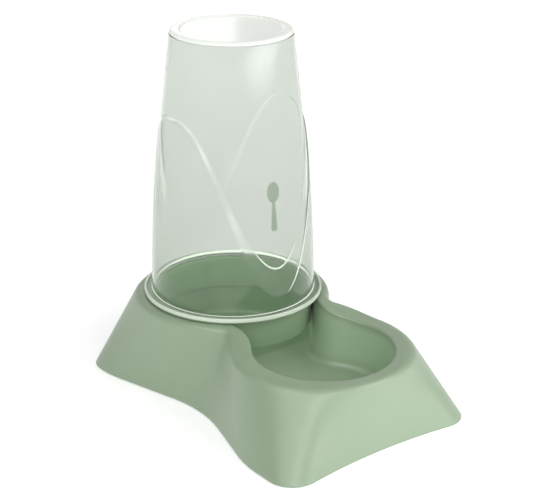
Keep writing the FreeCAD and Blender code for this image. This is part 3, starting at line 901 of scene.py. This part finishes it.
def dust_group():
    """Settled dust and handling: stronger on faces that look up, broken up by noise.
    Its output is a mask."""
    group, entry, leaving = new_group(
        "settled_dust",
        (("Vector", "NodeSocketVector", None), ("Normal", "NodeSocketVector", None),
         ("Amount", "NodeSocketFloat", 0.2)),
        (("Mask", "NodeSocketFloat"),))
    upward = add(group, "ShaderNodeSeparateXYZ", inputs={"Vector": entry.outputs["Normal"]})
    cloud = noise(group, entry.outputs["Vector"], 60.0, 5.0, roughness=0.6)
    settled = calculate(group, "MULTIPLY", ranged(group, upward.outputs["Z"], 0.2, 1.0),
                        ranged(group, cloud, 0.4, 0.75))
    mask = calculate(group, "MULTIPLY", settled, entry.outputs["Amount"])
    group.links.new(mask, leaving.inputs["Mask"])
    return group


MOULDED_SKIN = moulded_skin_group()
SETTLED_DUST = dust_group()


def new_material(name):
    """An empty material and its node tree."""
    material = bpy.data.materials.new(name)
    material.use_nodes = True
    tree = material.node_tree
    tree.nodes.clear()
    return material, tree


def mould_skin(tree, pebbles, roughness, spread, unevenness, strength, distance):
    """The mould's skin in a material: its roughness, its mask of flow marks, its bumped normal and
    the object's coordinates."""
    place = add(tree, "ShaderNodeTexCoord").outputs["Object"]
    skin_node = add(tree, "ShaderNodeGroup", node_tree=MOULDED_SKIN,
                    inputs={"Vector": place, "Pebble Scale": pebbles, "Roughness": roughness,
                            "Roughness Spread": spread, "Unevenness": unevenness})
    bump = add(tree, "ShaderNodeBump",
               inputs={"Height": skin_node.outputs["Height"], "Strength": strength,
                       "Distance": distance})
    return skin_node.outputs["Roughness"], skin_node.outputs["Mask"], bump.outputs["Normal"], place


def moulded_plastic(name, colour, pale, roughness, gloss, pebble_bump, tinted=False):
    """An opaque moulded plastic: an even colour that drifts a little, with the mould's skin in its
    roughness and bump, and a trace of dust on what looks up. With painted shading, the basin's
    mark leads to the bowl's paler painted light above nil and to the well's greener painted
    shading below."""
    material, tree = new_material(name)
    rough, mask, normal, place = mould_skin(
        tree, 1100.0, roughness, 0.10, 1.5, pebble_bump, 0.0004)
    shape = add(tree, "ShaderNodeNewGeometry")
    dust = add(tree, "ShaderNodeGroup", node_tree=SETTLED_DUST,
               inputs={"Vector": place, "Normal": shape.outputs["Normal"], "Amount": 0.05})
    drift = ranged(tree, mask, 0.3, 0.7, 0.0, 0.25)
    tone = blended(tree, drift, colour, pale)
    if tinted:
        # Painted light in the bowl and the neck, painted shading in the well, from the basin's mark
        basin = marked(tree, "basin_tone")
        for tint, sign in ((BOWL_TINT, 1.0), (WELL_TINT, -1.0)):
            share = calculate(tree, "MULTIPLY", basin, sign, clamp=True)
            tone = blended(tree, share, tone, tint)
    dusty = blended(tree, dust.outputs["Mask"], tone, DUST_TINT)
    plastic = add(tree, "ShaderNodeBsdfPrincipled",
                  inputs={"Base Color": dusty, "Roughness": rough, "Normal": normal,
                          "IOR": 1.55, "Specular IOR Level": gloss,
                          "Sheen Weight": 0.12 * gloss, "Sheen Roughness": 0.5})
    shown(tree, plastic)
    return material


def spoon_mask(tree, vector):
    """A flat spoon, bowl up, on the side towards +X: an ellipse joined to a handle that widens
    downwards to a round end. The output is one inside and nil outside."""
    place = add(tree, "ShaderNodeSeparateXYZ", inputs={"Vector": vector})
    y = calculate(tree, "MULTIPLY_ADD", place.outputs["Y"], 1 / MM, -SPOON_Y)
    z = calculate(tree, "MULTIPLY", place.outputs["Z"], 1 / MM)
    across = calculate(tree, "DIVIDE", y, SPOON_HALF_WIDTH)
    along = calculate(tree, "DIVIDE", calculate(tree, "SUBTRACT", z, SPOON_Z), SPOON_HALF_HEIGHT)
    across = calculate(tree, "MULTIPLY", across, across)
    reach = calculate(tree, "MULTIPLY_ADD", along, along, across)
    bowl = ranged(tree, reach, 1 - BOWL_BORDER, 1 + BOWL_BORDER, 1.0, 0.0)
    half = ranged(tree, z, HANDLE_END, HANDLE_TOP, HANDLE_WIDE / 2, HANDLE_NARROW / 2)
    below = calculate(tree, "MINIMUM", calculate(tree, "SUBTRACT", z, HANDLE_END), 0.0)
    below = calculate(tree, "MULTIPLY", below, below)
    beside = calculate(tree, "SQRT", calculate(tree, "MULTIPLY_ADD", y, y, below))
    beside = calculate(tree, "SUBTRACT", beside, half)
    handle = ranged(tree, beside, -HANDLE_BORDER, HANDLE_BORDER, 1.0, 0.0)
    lower = calculate(tree, "LESS_THAN", z, SPOON_Z)
    front = calculate(tree, "GREATER_THAN", place.outputs["X"], TANK_X * MM)
    shape = calculate(tree, "MAXIMUM", bowl, calculate(tree, "MULTIPLY", handle, lower))
    return calculate(tree, "MULTIPLY", shape, front)


def clear_plastic(name, tint, slope_tint, roughness):
    """The tank's clear plastic: a grey-green tint that deepens inside the wall and where the wall
    is seen edge-on, faint flow marks in its skin, and a flat printed spoon. The slope under the
    wave is rougher and carries a painted highlight, a paler colour, and its steep flanks carry a
    painted glow, an emission. Shadow rays pass nearly untouched."""
    material, tree = new_material(name)
    rough, _, normal, place = mould_skin(tree, 260.0, roughness, 0.04, 2.0, 0.02, 0.0005)
    share = marked(tree, "wave_share")
    band = calculate(tree, "MULTIPLY", ranged(tree, share, -0.06, 0.06),
                     ranged(tree, share, 0.94, 1.06, 1.0, 0.0))
    # Painted highlight on the wave's slope: a paler colour where its arches are marked
    slope = calculate(tree, "MULTIPLY", band, marked(tree, "wave_pale"))
    tone = blended(tree, slope, tint, slope_tint)
    printed = blended(tree, spoon_mask(tree, place), tone, PRINT_TINT)
    facing = add(tree, "ShaderNodeLayerWeight", inputs={"Blend": 0.5}).outputs["Facing"]
    edged = blended(tree, ranged(tree, facing, 0.55, 1.0, 0.0, 0.4), printed, EDGE_ON_TINT)
    softness = calculate(tree, "MULTIPLY_ADD", marked(tree, "wave_steep"), 0.25, 0.07)
    rough = calculate(tree, "MULTIPLY_ADD", band, softness, rough)
    # Painted glow in the wave's flanks, an emission
    lit = calculate(tree, "MULTIPLY", band, marked(tree, "wave_lit"))
    plastic = add(tree, "ShaderNodeBsdfPrincipled",
                  inputs={"Roughness": rough, "Normal": normal, "IOR": 1.33,
                          "Transmission Weight": 0.97, "Base Color": edged,
                          "Emission Color": blended(tree, lit, BLACK, GATHERED_LIGHT),
                          "Emission Strength": 1.0})
    clear = add(tree, "ShaderNodeBsdfTransparent", inputs={"Color": SHADOW_TINT})
    ray = add(tree, "ShaderNodeLightPath")
    mixed = add(tree, "ShaderNodeMixShader",
                inputs={0: ray.outputs["Is Shadow Ray"], 1: plastic.outputs[0],
                        2: clear.outputs[0]})
    depth = add(tree, "ShaderNodeVolumeAbsorption",
                inputs={"Color": WALL_TINT, "Density": WALL_DENSITY})
    tree.links.new(depth.outputs[0], shown(tree, mixed).inputs["Volume"])
    return material


def milky_plastic(name, colour, roughness, glow, from_marks=False):
    """The same plastic where it is thick and scatters: whiter and hardly clear, with a painted
    glow, an emission of its own colour. A bead's marks say where."""
    material, tree = new_material(name)
    rough, _, normal, _ = mould_skin(tree, 260.0, roughness, 0.06, 2.0, 0.02, 0.0005)
    light = blended(tree, marked(tree, "bead_glow"), BLACK, colour) if from_marks else colour
    plastic = add(tree, "ShaderNodeBsdfPrincipled",
                  inputs={"Roughness": rough, "Normal": normal, "IOR": 1.45,
                          "Transmission Weight": 0.35, "Base Color": colour,
                          "Emission Color": light, "Emission Strength": glow})
    shown(tree, plastic)
    return material


# Pieces

def dress(piece, material, slot_name, *nodes):
    """Gives a piece its material and body, and hides the CAD nodes that it stands for.
    The slot's name is not used.
    """
    piece.data.materials.append(material)
    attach(piece, "root")
    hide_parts(*nodes)


# The base and the flow ring carry the basin's painted light and shading
GREEN = moulded_plastic("green_plastic", srgb(123, 144, 115), srgb(128, 148, 120), roughness=0.42,
                        gloss=1.0, pebble_bump=0.05, tinted=True)
RING_GREEN = moulded_plastic("ring_plastic", srgb(120, 144, 112), srgb(124, 147, 116),
                             roughness=0.42, gloss=1.0, pebble_bump=0.05, tinted=True)
CLEAR = clear_plastic("tank_plastic", srgb(233, 235, 233), srgb(242, 245, 242), roughness=0.05)
PLATE = milky_plastic("flange_plastic", srgb(158, 178, 151), roughness=0.25, glow=0.0)
# Painted glow on the flange's white edge, a faint emission
MILKY = milky_plastic("edge_plastic", srgb(221, 231, 216), roughness=0.25, glow=0.04)
# Painted highlights: white beads that glow as their marks say
BEAD = milky_plastic("bead_plastic", srgb(222, 228, 219), roughness=0.25, glow=1.4,
                     from_marks=True)
# Painted glow on the crown's cap, a faint emission
CAP = milky_plastic("cap_plastic", srgb(240, 243, 238), roughness=0.12, glow=0.1)
RUBBER = moulded_plastic("pad_rubber", srgb(150, 154, 148), srgb(158, 161, 155), roughness=0.75,
                         gloss=0.4, pebble_bump=0.15)

dress(mark_basin(skin("base_shell", base_rows())), GREEN, "base_plastic", "base")
dress(mark_ring(skin("flow_ring_wall", ring_rows())), RING_GREEN, "ring_plastic", "flow_ring")
dress(mark_wave(skin("tank_cup", cup_rows())), CLEAR, "tank_plastic", "tank")
dress(skin("tank_cap", cap_rows()), CAP, "tank_plastic", "tank")
dress(skin("tank_flange", flange_rows()), PLATE, "tank_plastic", "tank")
dress(skin("tank_flange_edge", flange_edge_rows()), MILKY, "tank_plastic", "tank")
# Painted highlights along the foot of the wall and the wave's edges: glowing white beads
dress(mark_bead(skin("tank_foot_bead", foot_bead_rows()), 1.0), BEAD, "tank_plastic", "tank")
for count, (which, start, stop, widest) in enumerate(WAVE_BEADS):
    edge, side = (wave_head, panel) if which == "head" else (wave_foot, barrel)
    bead = skin("tank_wave_bead_%d" % count, wave_bead_rows(edge, side, start, stop, widest))
    dress(mark_bead(bead, OUTER_GLOW), BEAD, "tank_plastic", "tank")

for end, mark in (("tank", FOOT_MARKS[1]), ("bowl", FOOT_MARKS[5])):
    x, y, nx, ny = follow(END_HOLLOW - FOOT_HALF_LENGTH, FOOT, np.array([mark]))
    for side, sign in (("left", 1.0), ("right", -1.0)):
        at_x = float(x[0] - nx[0] * BOSS_INSET)
        at_y = float(y[0] - ny[0] * BOSS_INSET) * sign
        name = end + "_" + side
        dress(skin("boss_" + name, boss_rows(at_x, at_y)), GREEN, "base_plastic", "base")
        dress(skin("foot_pad_" + name, pad_rows(at_x, at_y)), RUBBER, "pad_rubber", "pad_" + name)


# Floor, light and camera, in metres

FLOOR_RADIUS = 14.0
FLOOR_SIDES = 96
SURROUND_STRENGTH = 0.53
MIDDLE = (0.0, 0.0, 0.12)

# Patches of the floor's glow: middle, the two distances where it changes and its strength at each
FLOOR_PATCHES = (
    ((0.0, 0.0, 0.0), 0.4, 1.4, 0.28, 0.65),
    ((0.29, 0.08, 0.0), 0.06, 0.26, 0.45, 0.0),
)

# Soft lights: name, place, what it faces, width and height, power and whether it fades
SOFT_BOXES = (
    ("front_box", (0.25, -1.15, 1.25), MIDDLE, (1.0, 0.9), 7.0, False),
    ("right_box", (0.98, 0.60, 0.85), MIDDLE, (0.9, 0.7), 7.5, False),
    ("near_box", (1.2, -0.75, 0.75), MIDDLE, (0.8, 0.6), 6.0, False),
    ("low_strip", (2.0, 0.85, 0.22), (0.0, 0.0, 0.22), (5.0, 0.42), 38.0, True),
    ("back_box", (-1.02, 0.45, 0.60), (-0.0585, 0.0, 0.318), (0.45, 0.30), 0.4, False),
)


def floor():
    """A wide pale floor, a disc that grows whiter away from the feeder and glows in a patch beside
    the bowl's end, as a lit table does. Each patch goes smoothly from its middle's strength to
    that beyond its rim."""
    mesh = bpy.data.meshes.new("studio_floor")
    a = ring_angles(FLOOR_SIDES)
    points = np.stack([FLOOR_RADIUS * np.cos(a), FLOOR_RADIUS * np.sin(a), 0.0 * a], axis=-1)
    mesh.from_pydata(points.tolist(), [], [list(range(FLOOR_SIDES))])
    material, tree = new_material("studio_floor")
    place = add(tree, "ShaderNodeTexCoord")
    glow = 0.0
    for centre, inner, outer, near, far in FLOOR_PATCHES:
        away = add(tree, "ShaderNodeVectorMath", operation="DISTANCE",
                   inputs={0: place.outputs["Object"], 1: centre})
        patch = ranged(tree, away.outputs["Value"], inner, outer, near, far,
                       interpolation_type="SMOOTHSTEP")
        glow = calculate(tree, "ADD", glow, patch)
    plain = add(tree, "ShaderNodeBsdfPrincipled",
                inputs={"Base Color": (0.93, 0.93, 0.93, 1.0), "Roughness": 0.9,
                        "Emission Color": (1.0, 1.0, 1.0, 1.0), "Emission Strength": glow})
    shown(tree, plain)
    mesh.materials.append(material)
    piece = new_object("studio_floor", mesh)


def soft_box(name, place, aim, size, power, fades):
    """A rectangular soft light that faces a point, and may fade from its middle to its border."""
    light = bpy.data.lights.new(name, "AREA")
    light.shape = "RECTANGLE"
    light.size, light.size_y = size
    light.energy = power
    if fades:
        light.use_nodes = True
        tree = light.node_tree
        surface = add(tree, "ShaderNodeNewGeometry")
        away = add(tree, "ShaderNodeVectorMath", operation="DISTANCE",
                   inputs={0: surface.outputs["Parametric"], 1: (0.5, 0.5, 0.0)})
        glow = ranged(tree, away.outputs["Value"], 0.0, 0.5, 1.0, 0.0,
                      interpolation_type="SMOOTHSTEP")
        tree.links.new(glow, tree.nodes["Emission"].inputs["Strength"])
    lamp = new_object(name, light)
    lamp.location = place
    lamp.rotation_mode = "QUATERNION"
    lamp.rotation_quaternion = (Vector(aim) - Vector(place)).to_track_quat("-Z", "Y")


def studio_light():
    """An even pale surround, soft boxes in front of the feeder's long side, beyond its bowl and
    beside the camera, a low strip that fades to its border and that the tank's side mirrors, and a
    small box behind that the tank's closed end mirrors."""
    world = bpy.data.worlds.new("studio")
    world.use_nodes = True
    bpy.context.scene.world = world
    backdrop = world.node_tree.nodes["Background"]
    backdrop.inputs["Color"].default_value = (1.0, 1.0, 1.0, 1.0)
    backdrop.inputs["Strength"].default_value = SURROUND_STRENGTH
    for box in SOFT_BOXES:
        soft_box(*box)


def photograph_camera():
    """The camera of the photograph: its turn, height, distance and lens, fitted to the outline."""
    azimuth, elevation, roll = math.radians(51.87), math.radians(22.36), math.radians(0.21)
    distance, shift_x, shift_y = 1404.01, 33.72, 105.97
    focal_pixels, image_width = 1515.66, 540.0
    back = Vector((math.sin(azimuth) * math.cos(elevation),
                   -math.cos(azimuth) * math.cos(elevation), math.sin(elevation)))
    level = Vector((math.cos(azimuth), math.sin(azimuth), 0.0))
    upright = back.cross(level)
    right = level * math.cos(roll) + upright * math.sin(roll)
    up = upright * math.cos(roll) - level * math.sin(roll)
    camera = new_object("camera", bpy.data.cameras.new("camera"))
    camera.data.sensor_width = 36.0
    camera.data.lens = focal_pixels / image_width * 36.0
    camera.data.clip_start, camera.data.clip_end = 0.05, 60.0
    place = (back * distance + right * shift_x + up * shift_y + Vector((TANK_X, 0.0, 0.0))) * MM
    turn = Matrix((right, up, back)).transposed()
    camera.matrix_world = Matrix.Translation(place) @ turn.to_4x4()
    bpy.context.scene.camera = camera


floor()
studio_light()
photograph_camera()
bpy.context.scene.view_settings.view_transform = "Standard"
